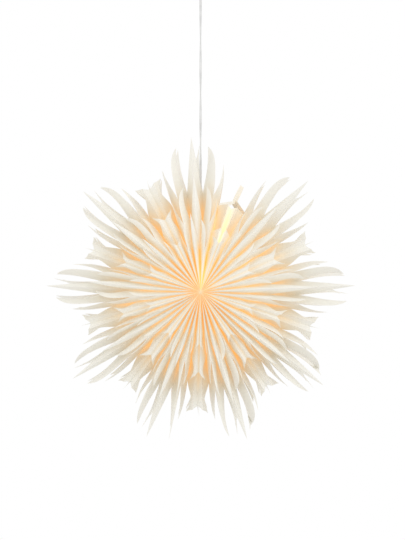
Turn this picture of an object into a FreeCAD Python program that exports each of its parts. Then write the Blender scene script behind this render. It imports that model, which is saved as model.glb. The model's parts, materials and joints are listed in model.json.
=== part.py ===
"""Pleated paper star pendant: a lit paper star of nine folded bags on a ceiling cord.

Millimetres, +Z up. The origin is on the ceiling, at the middle of the bracket. The star faces
-Y, so an angle in the star counts from +X towards +Z, as seen from the front.
"""
import FreeCAD, Part
import math
import os

from FreeCAD import Vector

os.makedirs("parts", exist_ok=True)

# ---------------------------------------------------------------- driving dimensions
# The paper star
STAR_DROP = 670.0            # ceiling to the star's centre
BAG_MIDDLES = (2.3, 45.9, 93.5, 139.5, 177.8, 214.2, 249.5, 287.5, 322.7)   # degrees
SEAM_AFTER = 1               # the bag, counted from 0, after which the closing seam comes
HUB_HOLE_R = 4.0             # hole in the middle of the pleats
SHEET = 0.9                  # paper thickness, measured along the star's axis
WEB = 0.3                    # thickness of the glued web behind each long spike
WEB_START_R = 16.0
WEB_END_R = 56.0
GLUE_GAP = 0.3               # between two neighbouring bags, and front to back, at the rim
CORD_ROOM = 12.0             # half of the free slot between front and back pleats

APEX_REAR = 75.0             # depth of the three tiers' points in front of the middle plane
APEX_MIDDLE = 118.0
APEX_FRONT = 160.0
SPIKE_LIFT = 10.0            # how far the rim of a crest lies behind the tier's apex
HOOK_LIFT = 18.0

SPIKE_REAR = 300.0           # tip radii of the rear (largest) tier
FLANK_REAR = 290.0
SIDE_REAR = 254.0
HOOK_REAR = 240.0
SPIKE_MIDDLE = 217.0         # middle tier
FLANK_MIDDLE = 203.0
SIDE_MIDDLE = 179.0
HOOK_MIDDLE = 170.0
SPIKE_FRONT = 144.5          # front (smallest) tier
FLANK_FRONT = 133.5
SIDE_FRONT = 115.0
HOOK_FRONT = 107.0

NOTCH_REAR = (196.0, 184.0, 176.0, 224.0)      # notch radii beside spike, flank, side, hook
NOTCH_MIDDLE = (135.0, 130.0, 119.0, 152.0)
NOTCH_FRONT = (78.0, 76.0, 68.0, 95.5)

SEAM_HOOK_CUT = 0.74         # share of the hook's radius that is left beside the seam
TAB_STEM = 36.0              # height of the closing tab's upright fold
TAB_PLY = 1.2
CARD = 0.8                   # thickness of the two end cards
CARD_START_R = 92.0

# The cord and the lampholder, for a small screw cap
CORD_R = 2.5
CORD_FIT = 0.08
NIPPLE_TOP = 122.0           # heights above the star's centre
NIPPLE_R = 5.2
NIPPLE_H = 14.0
NIPPLE_TAPER = 3.0
CAP_TOP = 112.0
CAP_BOTTOM = 86.0
CAP_R = 15.6
CAP_WALL = 1.4
CAP_SHOULDER = 0.35          # share of the cap's height above its rounded shoulder
CAP_EASE = 2.0               # size of that rounding
BODY_BOTTOM = 44.0
BODY_R = 14.0
BODY_WALL = 1.6
BODY_LIP = 8.0               # how far the body's mouth reaches into the cap
FLANGE_Z = 70.0
FLANGE_R = 17.5
FLANGE_H = 2.0
RING_R = 21.0
RING_H = 9.0
RING_RIBS = 24
RIB_DEPTH = 0.9
SHELL_R = 7.05
SHELL_WALL = 0.5
SHELL_H = 20.0
SHELL_MOUTH = 1.6            # room round the bulb's tip in the shell's top
INSERT_H = 11.0
LEAD_R = 1.1
LEAD_SPREAD = 7.0            # how far off the axis leads and screws stand in the insert
LEAD_ENTRY = 2.0
LEAD_BEND_R = 3.0
TERMINAL_R = 2.2
TERMINAL_H = 2.4
SEAT = 0.3                   # the gap at which loose pieces lie on each other
FIT = 0.08                   # radial clearance of running fits

# The wire bow that carries the star
BOW_WIRE_R = 1.2
BOW_PLATE = 1.5
BOW_PLATE_R = 25.0
BOW_BEND_R = 10.0
BOW_REACH = 62.0
END_CAP_WALL = 2.5
END_CAP_L = 13.0

# The bulb
GLOBE_R = 22.5
GLOBE_Z = 15.0               # above the star's centre
GLASS = 0.8
NECK_R = 8.4
SCREW_CAP_R = 6.95
SCREW_CAP_H = 20.0
CAP_FOIL = 0.4               # wall of the bulb's screw cap
TIP_R = 3.4
TIP_H = 2.0
INSULATOR_H = 2.6
STEM_R = 3.0
STEM_FLARE = 8.0
FILAMENT_R = 0.6
FILAMENT_SPAN = 16.0
FILAMENT_BEND_R = 1.5
STEM_RISE = 12.0             # foot of the stem above the globe's middle

# The ceiling fitting
BRACKET_L = 70.0
BRACKET_W = 18.0
BRACKET_T = 2.0
BRACKET_HOLE_R = 2.4
BRACKET_SPACING = 50.0
HOOK_WIRE_R = 2.0
HOOK_BEND_R = 7.0
HOOK_SHANK = 7.0
EYE_WIRE_R = 1.5
EYE_BEND_R = 5.5
CLAMP_R = 7.0
CLAMP_H = 14.0
CLAMP_GRIP = 9.0
BLOCK_L = 15.0
BLOCK_W = 11.0
BLOCK_H = 17.0
BLOCK_RAISE = 8.0            # the block's top above the clamp's top
BLOCK_SCREW_R = 1.8
BLOCK_SCREW_DROP = 4.0       # the screws' middle below the block's top
CUP_R = 50.0
CUP_GAP = 1.0
CUP_WALL = 1.2
CUP_DEPTH = 60.0
CUP_NECK_R = 9.0
BUSH_R = 6.0
BUSH_H = 14.0
BUSH_DROP = 5.0              # how far the bush stands below the cup, and its screw above it
GRIP_SCREW_R = 1.5
GRIP_HEAD_H = 2.0

# ---------------------------------------------------------------- roundness and small sizes
ROUND_SIDES = 18             # sides that stand for a full turn
SMALL_SIDES = 8              # the same for wires, leads and screws
BEND_STEPS = 2               # straight steps in a bend
RING_STEPS = 12              # straight steps in the hook's and the eye's full turn
HOOK_OPEN_STEPS = 2          # of those, the ones left open in the hook
GLOBE_STEPS = 5              # straight steps from the globe's bottom to its neck
CUP_STEPS = 4                # straight steps in the cup's rounded shoulder
CHAMFER = 1.0
TINY = 1e-6

# ---------------------------------------------------------------- folds of one half bag
# Each half bag has five panels between six fold lines, given as shares of its angle.
FOLD_SHARES = (0.0, 0.2, 0.45, 0.64, 0.875, 1.0)
FLANK_LEAN = 0.34            # where a blade's tip lies between its two folds
SIDE_LEAN = 0.32
HOOK_LEAN = 0.34
BELLY = 0.55                 # how far up a blade is at its fullest
WAIST = 0.42                 # how far up a hook is at its narrowest, and where between its folds
WAIST_LEAN = 0.62
CROWN = 0.8                  # share of a hook's fork that is left at the fold beside its tip

X_AXIS = Vector(1, 0, 0)
Y_AXIS = Vector(0, 1, 0)
Z_AXIS = Vector(0, 0, 1)
CENTRE = Vector(0, 0, -STAR_DROP)


def save(shape, name):
    """Write one piece to its own file."""
    shape.exportStep("parts/" + name + ".step")


def above_centre(height):
    """The world height of something given above the star's centre."""
    return height - STAR_DROP


# ---------------------------------------------------------------- basic solids
def closed_solid(faces):
    """Sew flat faces into one solid."""
    skin = Part.makeCompound(faces)
    skin.sewShape()
    solid = Part.Solid(skin.Shells[0])
    if solid.Volume < 0:
        solid.reverse()
    return solid


def flat_face(points):
    """A flat face through corner points, of which neighbours may fall together."""
    corners = []
    for point in points:
        if not corners or corners[-1].distanceToPoint(point) > TINY:
            corners.append(point)
    if corners[0].distanceToPoint(corners[-1]) < TINY:
        corners.pop()
    return Part.Face(Part.makePolygon(corners + corners[:1]))


def ring_points(radius, centre, axis_a, axis_b, sides):
    """The corners of a many-sided ring in the plane of two directions."""
    points = []
    for index in range(sides):
        turn = math.pi * (2 * index + 1) / sides
        points.append(centre + axis_a * (radius * math.cos(turn))
                      + axis_b * (radius * math.sin(turn)))
    return points


def band(lower, upper):
    """The flat faces between two rings of as many corners."""
    faces = []
    for index in range(len(lower)):
        after = (index + 1) % len(lower)
        faces.append(flat_face([lower[index], lower[after], upper[after], upper[index]]))
    return faces


def prism(radius, start, axis_a, axis_b, way, sides):
    """A round bar as a many-sided prism from a start point."""
    corners = ring_points(radius, start, axis_a, axis_b, sides)
    return flat_face(corners).extrude(way)


def rod(radius, low, high, x=0.0, y=0.0, sides=ROUND_SIDES):
    """An upright round bar between two heights."""
    return prism(radius, Vector(x, y, low), X_AXIS, Y_AXIS, Z_AXIS * (high - low), sides)


def rod_across(radius, start, length):
    """A small round bar that lies along +X."""
    return prism(radius, start, Y_AXIS, Z_AXIS, X_AXIS * length, SMALL_SIDES)


def tube(outer, inner, low, high):
    """An upright tube between two heights."""
    return rod(outer, low, high).cut(rod(inner, low, high))


def turned(profile):
    """A body turned about the cord's axis from (radius, height) points."""
    rings = []
    for radius, height in profile:
        centre = Vector(0, 0, height)
        rings.append(ring_points(radius, centre, X_AXIS, Y_AXIS, ROUND_SIDES))
    faces = []
    for index in range(len(profile)):
        after = (index + 1) % len(profile)
        if profile[index][0] + profile[after][0] < TINY:
            continue
        lower, upper = rings[index], rings[after]
        for k in range(ROUND_SIDES):
            n = (k + 1) % ROUND_SIDES
            faces.append(flat_face([lower[k], lower[n], upper[n], upper[k]]))
    return closed_solid(faces).removeSplitter()


def softened(points, bend):
    """A route whose corners are rounded to one radius by short straight steps."""
    route = [points[0]]
    for before, corner, after in zip(points, points[1:], points[2:]):
        into = (corner - before).normalize()
        out = (after - corner).normalize()
        turn = into.getAngle(out)
        inward = (out - into).normalize()
        hub = corner + inward * (bend / math.cos(turn / 2))
        for step in range(BEND_STEPS + 1):
            swing = turn * (step / BEND_STEPS - 0.5)
            ahead = (into + out).normalize()
            route.append(hub - inward * (bend * math.cos(swing)) + ahead * (bend * math.sin(swing)))
    route.append(points[-1])
    return route


def wire_along(route, radius, across, closed=False):
    """A round wire along straight steps in one plane, mitred where they meet; across is the
    direction square to that plane."""
    count = len(route)
    steps = [(route[(i + 1) % count] - route[i]).normalize() for i in range(count)]
    rings = []
    for index, point in enumerate(route):
        into = steps[index - 1] if index or closed else steps[0]
        out = steps[index] if index < count - 1 or closed else steps[index - 1]
        ahead = (into + out).normalize()
        beside = ahead.cross(across)
        stretch = 1 / math.cos(into.getAngle(out) / 2)
        rings.append(ring_points(radius, point, beside * stretch, across, SMALL_SIDES))
    faces = []
    for index in range(count if closed else count - 1):
        faces += band(rings[index], rings[(index + 1) % count])
    if not closed:
        faces += [flat_face(rings[0]), flat_face(rings[-1])]
    return closed_solid(faces)


# ---------------------------------------------------------------- the folded paper
class Tier:
    """One of the three pleated cones: its apex depth, tip radii and notch radii."""

    def __init__(self, apex, spike, flank, side, hook, notches):
        self.apex = apex
        self.spike = spike
        self.flank = flank
        self.side = side
        self.hook = hook
        self.notches = notches


REAR = Tier(APEX_REAR, SPIKE_REAR, FLANK_REAR, SIDE_REAR, HOOK_REAR, NOTCH_REAR)
MIDDLE = Tier(APEX_MIDDLE, SPIKE_MIDDLE, FLANK_MIDDLE, SIDE_MIDDLE, HOOK_MIDDLE, NOTCH_MIDDLE)
FRONT = Tier(APEX_FRONT, SPIKE_FRONT, FLANK_FRONT, SIDE_FRONT, HOOK_FRONT, NOTCH_FRONT)

CREST_SLOPE = SPIKE_LIFT / SPIKE_REAR
HOOK_SLOPE = HOOK_LIFT / HOOK_REAR
VALLEY_SLOPE = (APEX_REAR - CORD_ROOM - SHEET) / NOTCH_REAR[0]
GLUE_SLOPE = (APEX_REAR - SHEET - GLUE_GAP / 2) / NOTCH_REAR[3]
FOLD_SLOPES = (CREST_SLOPE, VALLEY_SLOPE, CREST_SLOPE, VALLEY_SLOPE, HOOK_SLOPE, GLUE_SLOPE)
GLUE_ANGLE = math.degrees(GLUE_GAP / 2 / NOTCH_REAR[3])


def flat_point(radius, angle):
    """A point of the star's middle plane, by radius and angle in degrees."""
    turn = math.radians(angle)
    return Vector(radius * math.cos(turn), 0, radius * math.sin(turn))


class Panel:
    """One flat panel of a pleat, between two folds that run out from the tier's apex."""

    def __init__(self, apex, angle_a, slope_a, angle_b, slope_b):
        self.apex = apex
        self.angle_a = angle_a
        self.angle_b = angle_b
        way_a = flat_point(1, angle_a)
        way_b = flat_point(1, angle_b)
        span = way_a.x * way_b.z - way_a.z * way_b.x
        self.tilt_x = (slope_a * way_b.z - slope_b * way_a.z) / span
        self.tilt_z = (slope_b * way_a.x - slope_a * way_b.x) / span

    def point(self, radius, share):
        """The panel's point at a radius and at a share of the way from fold a to fold b."""
        flat = flat_point(radius, self.angle_a + share * (self.angle_b - self.angle_a))
        depth = self.apex - self.tilt_x * flat.x - self.tilt_z * flat.z
        return CENTRE + Vector(flat.x, -depth, flat.z)


def blade(panel, valley_root, tip, lean, crest_root, from_crest):
    """Outline of a panel that ends in one blade: straight beside the valley fold, full beside
    the crest fold, its tip at a share of the way from fold a to fold b."""
    belly = crest_root + BELLY * (tip - crest_root)
    if from_crest:
        return [
            panel.point(HUB_HOLE_R, 0),
            panel.point(crest_root, 0),
            panel.point(belly, lean * (1 - BELLY) / 2),
            panel.point(tip, lean),
            panel.point(valley_root, 1),
            panel.point(HUB_HOLE_R, 1),
        ]
    return [
        panel.point(HUB_HOLE_R, 0),
        panel.point(valley_root, 0),
        panel.point(tip, lean),
        panel.point(belly, 1 - (1 - lean) * (1 - BELLY) / 2),
        panel.point(crest_root, 1),
        panel.point(HUB_HOLE_R, 1),
    ]


def half_bag_panels(tier, middle, edge, at_seam):
    """Outlines of the panels from a bag's middle fold out to its edge angle."""
    angles = [middle + share * (edge - middle) for share in FOLD_SHARES]
    panels = []
    for index in range(len(angles) - 1):
        panels.append(Panel(tier.apex, angles[index], FOLD_SLOPES[index],
                            angles[index + 1], FOLD_SLOPES[index + 1]))
    spike, flank, side, hook, glue = panels
    by_spike, by_flank, by_side, by_hook = tier.notches
    waist = by_side + WAIST * (tier.hook - by_side)
    hook_fold = by_hook + CROWN * (tier.hook - by_hook)
    outlines = [
        [
            spike.point(HUB_HOLE_R, 0),
            spike.point(tier.spike, 0),
            spike.point(by_spike, 1),
            spike.point(HUB_HOLE_R, 1),
        ],
        blade(flank, by_spike, tier.flank, FLANK_LEAN, by_flank, False),
        blade(side, by_side, tier.side, SIDE_LEAN, by_flank, True),
    ]
    if at_seam:
        outlines.append([
            hook.point(HUB_HOLE_R, 0),
            hook.point(by_side, 0),
            hook.point(SEAM_HOOK_CUT * tier.hook, 1),
            hook.point(HUB_HOLE_R, 1),
        ])
        return outlines
    outlines.append([
        hook.point(HUB_HOLE_R, 0),
        hook.point(by_side, 0),
        hook.point(waist, WAIST_LEAN),
        hook.point(tier.hook, HOOK_LEAN),
        hook.point(hook_fold, 1),
        hook.point(HUB_HOLE_R, 1),
    ])
    outlines.append([
        glue.point(HUB_HOLE_R, 0),
        glue.point(hook_fold, 0),
        glue.point(by_hook, 1),
        glue.point(HUB_HOLE_R, 1),
    ])
    return outlines


def sheet_solid(outlines):
    """Give a pleated sheet its thickness: each flat panel, its copy, and the cut edges."""
    depth = Vector(0, SHEET, 0)
    edges = {}
    faces = []
    for outline in outlines:
        closed = outline + outline[:1]
        faces.append(Part.Face(Part.makePolygon(closed)))
        faces.append(Part.Face(Part.makePolygon([point + depth for point in closed])))
        for start, end in zip(closed, closed[1:]):
            ends = [tuple(round(value, 5) for value in point) for point in (start, end)]
            edges.setdefault(tuple(sorted(ends)), []).append((start, end))
    for users in edges.values():
        if len(users) == 1:
            start, end = users[0]
            rim = [start, end, end + depth, start + depth, start]
            faces.append(Part.Face(Part.makePolygon(rim)))
    return closed_solid(faces)


def crest_depth(tier, radius):
    """How far in front of the middle plane a tier's main crest lies at a radius."""
    return tier.apex - CREST_SLOPE * radius - 0.75 * SHEET


def glued_web(middle):
    """The narrow radial web that joins the three tiers behind a bag's main crest."""
    corners = []
    for tier, radius in ((FRONT, WEB_START_R), (FRONT, WEB_END_R),
                         (REAR, WEB_END_R), (REAR, WEB_START_R)):
        corners.append(CENTRE + flat_point(radius, middle)
                       - Y_AXIS * crest_depth(tier, radius))
    across = flat_point(1, middle + 90)
    corners = [corner - across * (WEB / 2) for corner in corners]
    return Part.Face(Part.makePolygon(corners + corners[:1])).extrude(across * WEB)


def seam_angle():
    """The angle of the closing seam."""
    return (BAG_MIDDLES[SEAM_AFTER] + BAG_MIDDLES[SEAM_AFTER + 1]) / 2


def bag_edges(index):
    """The angles at which a bag meets its two neighbours."""
    count = len(BAG_MIDDLES)
    before = BAG_MIDDLES[index - 1] - (360 if index == 0 else 0)
    after = BAG_MIDDLES[(index + 1) % count] + (360 if index == count - 1 else 0)
    middle = BAG_MIDDLES[index]
    return (before + middle) / 2 + GLUE_ANGLE, (middle + after) / 2 - GLUE_ANGLE


def bag_front(index):
    """The front half of one folded bag, with its three tiers of blades."""
    middle = BAG_MIDDLES[index]
    low_edge, high_edge = bag_edges(index)
    low_seam = index == SEAM_AFTER + 1
    high_seam = index == SEAM_AFTER
    sheets = []
    for tier in (FRONT, MIDDLE, REAR):
        open_here = tier is not FRONT
        outlines = half_bag_panels(tier, middle, low_edge, low_seam and open_here)
        outlines += half_bag_panels(tier, middle, high_edge, high_seam and open_here)
        sheets.append(sheet_solid(outlines))
    return sheets[0].fuse(sheets[1:] + [glued_web(middle)])


def make_paper():
    """All bags, each as a front and a back half."""
    for index in range(len(BAG_MIDDLES)):
        front = bag_front(index)
        save(front, "bag_%d_front" % (index + 1))
        save(front.mirror(Vector(0, 0, 0), Y_AXIS), "bag_%d_back" % (index + 1))


def end_card(side):
    """One of the two stiff cards that end the fan of bags, edge-on beside the seam."""
    half_fan = seam_angle() - BAG_MIDDLES[SEAM_AFTER]
    angle = seam_angle() + side * (1 - FOLD_SHARES[4]) * half_fan
    end_r = SEAM_HOOK_CUT * HOOK_REAR
    corners = []
    for radius in (CARD_START_R, end_r):
        reach = APEX_REAR - HOOK_SLOPE * radius - SHEET - SEAT
        corners.append((radius, reach))
    outline = [corners[0], corners[1], (end_r, -corners[1][1]), (CARD_START_R, -corners[0][1])]
    points = [CENTRE + flat_point(radius, angle) + Y_AXIS * depth for radius, depth in outline]
    thick = flat_point(1, angle - side * 90) * CARD
    return Part.Face(Part.makePolygon(points + points[:1])).extrude(thick)


def closing_tab():
    """The folded tab that ties the two ends of the fan, an upturned Y seen from the front."""
    half_fan = seam_angle() - BAG_MIDDLES[SEAM_AFTER]
    foot_turn = (1 - FOLD_SHARES[3]) * half_fan
    foot_r = NOTCH_REAR[2]
    fork_r = foot_r + TAB_STEM / 2
    half_depth = APEX_REAR - VALLEY_SLOPE * foot_r - SHEET - SEAT
    up = flat_point(1, seam_angle())
    across = flat_point(1, seam_angle() + 90)
    fork = CENTRE + up * fork_r
    top = fork + up * TAB_STEM
    half = across * (TAB_PLY / 2)
    ply = up * TAB_PLY
    left = CENTRE + flat_point(foot_r, seam_angle() + foot_turn)
    right = CENTRE + flat_point(foot_r, seam_angle() - foot_turn)
    outline = [top + half, fork + half + ply, left + ply, left, fork, right, right + ply,
               fork - half + ply, top - half]
    outline = [point - Y_AXIS * half_depth for point in outline]
    return Part.Face(Part.makePolygon(outline + outline[:1])).extrude(Y_AXIS * 2 * half_depth)


# ---------------------------------------------------------------- the wire bow
def end_cap_start():
    """Depth at which the plug on a wire end begins, so that the hub's rim sits on its middle."""
    return APEX_REAR - END_CAP_L / 2


def hanger_bow():
    """A plate clamped on the holder, with a wire arm down to the front and the back hub."""
    plate_top = above_centre(FLANGE_Z) - FIT
    bow = tube(BOW_PLATE_R, BODY_R + SEAT, plate_top - BOW_PLATE, plate_top)
    wire_z = plate_top - BOW_PLATE / 2
    wire_end = end_cap_start() + END_CAP_L - END_CAP_WALL - SEAT
    for side in (-1, 1):
        route = [
            Vector(0, side * (BOW_PLATE_R - BOW_WIRE_R), wire_z),
            Vector(0, side * BOW_REACH, -STAR_DROP),
            Vector(0, side * wire_end, -STAR_DROP),
        ]
        bow = bow.fuse(wire_along(softened(route, BOW_BEND_R), BOW_WIRE_R, X_AXIS))
    return bow.removeSplitter()


def bow_end_caps():
    """The two plugs on the wire ends, on which the star's hub holes sit."""
    caps = []
    outer = HUB_HOLE_R - SEAT
    for side in (-1, 1):
        start = CENTRE + Y_AXIS * (side * end_cap_start())
        way = Y_AXIS * side
        cap = prism(outer, start, X_AXIS, Z_AXIS, way * END_CAP_L, ROUND_SIDES)
        hole = prism(BOW_WIRE_R + FIT, start, X_AXIS, Z_AXIS, way * (END_CAP_L - END_CAP_WALL),
                     SMALL_SIDES)
        caps.append(cap.cut(hole))
    return Part.makeCompound(caps)


# ---------------------------------------------------------------- the lampholder
def holder_nipple():
    """The cord nipple on top of the holder's cap."""
    top = above_centre(NIPPLE_TOP)
    low = top - NIPPLE_H
    seat = above_centre(CAP_TOP)
    bore = CORD_R + CORD_FIT
    stem = NIPPLE_R - CHAMFER
    return turned([(bore, low), (stem, low), (stem, seat), (NIPPLE_R, seat),
                   (NIPPLE_R, top - NIPPLE_TAPER), (bore + CHAMFER, top), (bore, top)])


def holder_cap():
    """The domed cap over the terminals."""
    top = above_centre(CAP_TOP)
    bottom = above_centre(CAP_BOTTOM)
    neck = NIPPLE_R - CHAMFER + FIT
    crown = NIPPLE_R + CHAMFER
    shoulder = top - CAP_SHOULDER * (CAP_TOP - CAP_BOTTOM)
    inner = CAP_R - CAP_WALL
    return turned([(neck, top), (crown, top), (CAP_R - CAP_EASE, shoulder + CAP_EASE),
                   (CAP_R, shoulder - CAP_EASE), (CAP_R, bottom), (inner, bottom),
                   (inner, shoulder - CAP_EASE - CHAMFER), (inner - CAP_EASE, shoulder),
                   (crown, top - CAP_WALL), (neck, top - CAP_WALL)])


def holder_body():
    """The threaded holder body, with the flange that the bow's plate is clamped under."""
    bottom = above_centre(BODY_BOTTOM)
    seat = above_centre(CAP_BOTTOM) - FIT
    top = above_centre(CAP_BOTTOM) + BODY_LIP
    flange = above_centre(FLANGE_Z)
    inner = BODY_R - BODY_WALL
    grip = CAP_R - CAP_WALL - FIT
    return turned([(inner, bottom), (BODY_R, bottom), (BODY_R, flange), (FLANGE_R, flange),
                   (FLANGE_R, flange + FLANGE_H), (BODY_R, flange + FLANGE_H), (BODY_R, seat),
                   (grip, seat), (grip, top), (inner, top)])


def retaining_ring():
    """The ribbed ring that screws up under the bow's plate."""
    top = above_centre(FLANGE_Z) - FIT - BOW_PLATE - FIT
    low = top - RING_H
    corners = []
    for index in range(2 * RING_RIBS):
        turn = math.pi * index / RING_RIBS
        radius = RING_R - RIB_DEPTH * (index % 2)
        corners.append(Vector(radius * math.cos(turn), radius * math.sin(turn), low))
    ribs = flat_face(corners).extrude(Z_AXIS * RING_H)
    return ribs.cut(rod(BODY_R + FIT, low, top))


def insert_top():
    """Height of the ceramic insert's top face."""
    return above_centre(FLANGE_Z) + FLANGE_H + INSERT_H


def contact_level():
    """Height just under the insert, where the shell and the tongue are held."""
    return above_centre(FLANGE_Z) + FLANGE_H - FIT


def holder_insert():
    """The ceramic insert that carries the contacts."""
    low = insert_top() - INSERT_H
    body = rod(BODY_R - BODY_WALL - FIT, low, insert_top())
    for side in (-1, 1):
        hole_x = side * LEAD_SPREAD
        body = body.cut(rod(LEAD_R + SEAT, low, insert_top(), hole_x, 0, SMALL_SIDES))
    return body


def socket_shell():
    """The threaded metal shell that the bulb screws into, hung from the insert."""
    top = contact_level()
    low = top - SHELL_H
    outer = SHELL_R + SHELL_WALL
    mouth = TIP_R + SHELL_MOUTH
    return turned([(SHELL_R, low), (outer, low), (outer, top), (mouth, top),
                   (mouth, top - SHELL_WALL), (SHELL_R, top - SHELL_WALL)])


def centre_contact():
    """The flat spring tongue over the bulb's tip."""
    corner = Vector(-TIP_R, -TIP_R / 2, contact_level() - SHELL_WALL)
    return Part.makeBox(2 * TIP_R, TIP_R, SHELL_WALL, corner)


def contact_screws():
    """The two terminal screws on top of the insert."""
    low = insert_top()
    screws = []
    for side in (-1, 1):
        screws.append(rod(TERMINAL_R, low, low + TERMINAL_H, 0, side * LEAD_SPREAD, SMALL_SIDES))
    return Part.makeCompound(screws)


def holder_leads():
    """The two stripped leads from the cord's end down into the insert."""
    low = insert_top() - INSERT_H + LEAD_ENTRY
    top = above_centre(NIPPLE_TOP) - NIPPLE_H - SEAT
    leads = []
    for side in (-1, 1):
        beside = side * (LEAD_R + SEAT)
        spread = side * LEAD_SPREAD
        route = [Vector(beside, 0, top), Vector(beside, 0, top - 2 * LEAD_ENTRY),
                 Vector(spread, 0, insert_top() + LEAD_ENTRY), Vector(spread, 0, low)]
        leads.append(wire_along(softened(route, LEAD_BEND_R), LEAD_R, Y_AXIS))
    return Part.makeCompound(leads)


# ---------------------------------------------------------------- the bulb
def bulb_tip_top():
    """Height of the bulb's contact, just under the holder's tongue."""
    return contact_level() - SHELL_WALL - SEAT


def screw_cap_top():
    """Height of the screw cap's top, under the insulator."""
    return bulb_tip_top() - TIP_H - INSULATOR_H


def bulb_tip():
    """The solder tip of the bulb's cap."""
    top = bulb_tip_top()
    return turned([(0, top), (TIP_R - CHAMFER, top), (TIP_R, top - TIP_H), (0, top - TIP_H)])


def bulb_insulator():
    """The black glass ring between the tip and the screw cap."""
    low = screw_cap_top()
    top = low + INSULATOR_H
    return turned([(0, top), (TIP_R, top), (SCREW_CAP_R - CHAMFER, low), (0, low)])


def bulb_screw_cap():
    """The screw cap, open below where the glass neck is cemented in."""
    top = screw_cap_top()
    low = top - SCREW_CAP_H
    shoulder = top - 2 * CHAMFER
    inner = SCREW_CAP_R - CAP_FOIL
    return turned([(0, top), (SCREW_CAP_R - CHAMFER, top), (SCREW_CAP_R, shoulder),
                   (SCREW_CAP_R, low), (inner, low), (inner, shoulder - CAP_FOIL),
                   (0, shoulder - CAP_FOIL)])


def glass_skin(radius, neck, stub):
    """Outline of the bulb's glass from its bottom up to the stub in the screw cap."""
    centre = above_centre(GLOBE_Z)
    neck_low = screw_cap_top() - SCREW_CAP_H
    last = math.asin((neck + CHAMFER) / radius)
    points = []
    for step in range(GLOBE_STEPS + 1):
        turn = math.pi - (math.pi - last) * step / GLOBE_STEPS
        points.append((radius * math.sin(turn), centre + radius * math.cos(turn)))
    points[0] = (0, centre - radius)
    points.append((neck, neck_low - 2 * CAP_FOIL))
    points.append((stub, neck_low))
    points.append((stub, neck_low + SCREW_CAP_H / 2))
    return points


def bulb_glass():
    """The frosted globe with its neck, a shell of even wall that is open inside the cap."""
    stub_r = SCREW_CAP_R - CAP_FOIL - FIT
    outer = glass_skin(GLOBE_R, NECK_R, stub_r)
    inner = glass_skin(GLOBE_R - GLASS, NECK_R - GLASS, stub_r - GLASS)
    return turned(outer + inner[::-1])


def bulb_stem():
    """The glass stem that carries the filament, standing in the neck."""
    top = screw_cap_top() - SCREW_CAP_H / 2
    low = above_centre(GLOBE_Z) + STEM_RISE
    foot = SCREW_CAP_R - CAP_FOIL - GLASS - 2 * FIT
    return turned([(0, top), (foot, top), (STEM_R, top - STEM_FLARE), (STEM_R - CHAMFER, low),
                   (0, low)])


def bulb_filament():
    """The filament's bow under the stem, on its two supports."""
    low = above_centre(GLOBE_Z)
    top = low + STEM_RISE - SEAT
    half = FILAMENT_SPAN / 2
    foot = 2 * FILAMENT_R
    route = [Vector(-foot, 0, top), Vector(-half, 0, low), Vector(half, 0, low),
             Vector(foot, 0, top)]
    return wire_along(softened(route, FILAMENT_BEND_R), FILAMENT_R, Y_AXIS)


# ---------------------------------------------------------------- the ceiling fitting
def hook_bottom():
    """Height of the middle of the hook's wire at its lowest place."""
    return -BRACKET_T - HOOK_SHANK - 2 * HOOK_BEND_R


def eye_top():
    """Height of the middle of the eye's wire where it lies on the hook."""
    return hook_bottom() + HOOK_WIRE_R + EYE_WIRE_R + SEAT


def clamp_top():
    """Height of the top of the cord clamp under the eye."""
    return eye_top() - 2 * EYE_BEND_R


def ceiling_bracket():
    """The flat strap under the ceiling, with its two screw holes."""
    half = (BRACKET_L - BRACKET_W) / 2
    corner = Vector(-half, -BRACKET_W / 2, -BRACKET_T)
    strap = Part.makeBox(2 * half, BRACKET_W, BRACKET_T, corner)
    for side in (-1, 1):
        strap = strap.fuse(rod(BRACKET_W / 2, -BRACKET_T, 0, side * half))
    for side in (-1, 1):
        start = Vector(side * BRACKET_SPACING / 2, 0, -BRACKET_T)
        strap = strap.cut(Part.makeCylinder(BRACKET_HOLE_R, BRACKET_T, start))
    return strap.removeSplitter()


def ceiling_hook():
    """The open hook under the strap, in the plane through the cord and the front."""
    middle_z = hook_bottom() + HOOK_BEND_R
    route = [Vector(0, 0, -BRACKET_T)]
    for step in range(RING_STEPS - HOOK_OPEN_STEPS + 1):
        turn = 2 * math.pi * step / RING_STEPS
        route.append(Vector(0, HOOK_BEND_R * math.sin(turn),
                            middle_z + HOOK_BEND_R * math.cos(turn)))
    foot = rod(2 * HOOK_WIRE_R, -BRACKET_T - HOOK_WIRE_R, -BRACKET_T)
    return wire_along(route, HOOK_WIRE_R, X_AXIS).fuse(foot)


def cord_hanger():
    """The eye on the hook and, below it, the clamp that grips the cord's top."""
    middle_z = eye_top() - EYE_BEND_R
    route = []
    for step in range(RING_STEPS):
        turn = 2 * math.pi * step / RING_STEPS
        route.append(Vector(EYE_BEND_R * math.sin(turn), 0,
                            middle_z + EYE_BEND_R * math.cos(turn)))
    eye = wire_along(route, EYE_WIRE_R, Y_AXIS, closed=True)
    top = clamp_top()
    low = top - CLAMP_H
    bore = CORD_R + CORD_FIT
    clamp = turned([(0, top), (CLAMP_R - CHAMFER, top), (CLAMP_R, top - CHAMFER), (CLAMP_R, low),
                    (bore, low), (bore, low + CLAMP_GRIP), (0, low + CLAMP_GRIP)])
    return eye.fuse(clamp)


def block_top():
    """Height of the terminal block's top."""
    return clamp_top() + BLOCK_RAISE


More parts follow.
